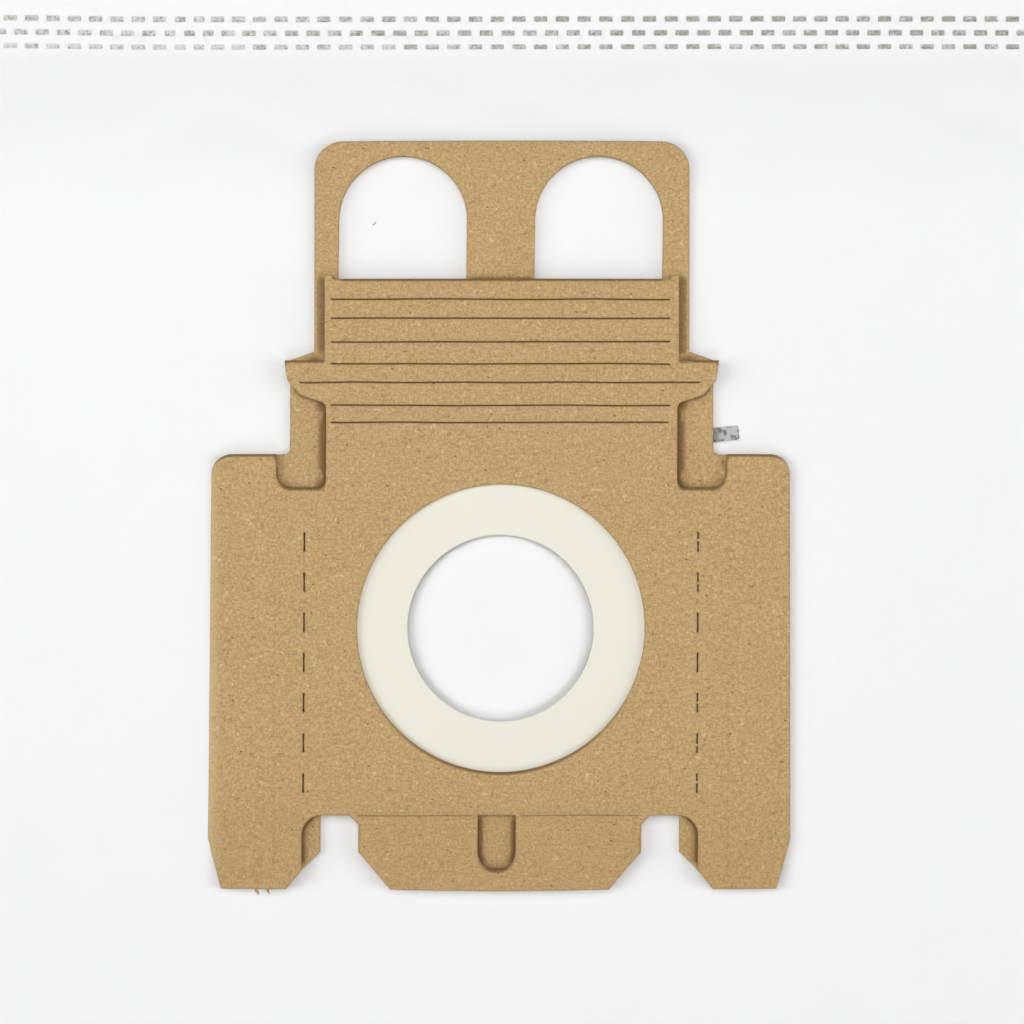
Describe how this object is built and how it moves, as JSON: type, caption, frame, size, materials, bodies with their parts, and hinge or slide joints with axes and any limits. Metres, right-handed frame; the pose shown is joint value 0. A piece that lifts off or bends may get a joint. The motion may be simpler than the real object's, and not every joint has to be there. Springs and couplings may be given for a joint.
{
  "type": "vacuum dust bag",
  "caption": "Flat fleece vacuum dust bag with dash-welded seams, a layered kraft board collar with handle, and a rubber seal ring.",
  "frame": {"origin": "under the centre of the inlet, on the surface that the bag lies on", "axes": "+X across the collar, to the right in the picture; +Y towards the handle; +Z out of the collar's face"},
  "size_m": [0.29, 0.254, 0.0095],
  "materials": {
    "fleece": "matt white nonwoven fleece",
    "kraft_board_front": "matt brown kraft board",
    "kraft_board_back": "matt brown kraft board",
    "seal_rubber": "satin cream rubber"
  },
  "bodies": {
    "root": {"rear_sheet": "fleece", "front_sheet": "fleece", "back_plate": "kraft_board_back", "front_plate": "kraft_board_front", "seal_ring": "seal_rubber"}
  },
  "joints": []
}
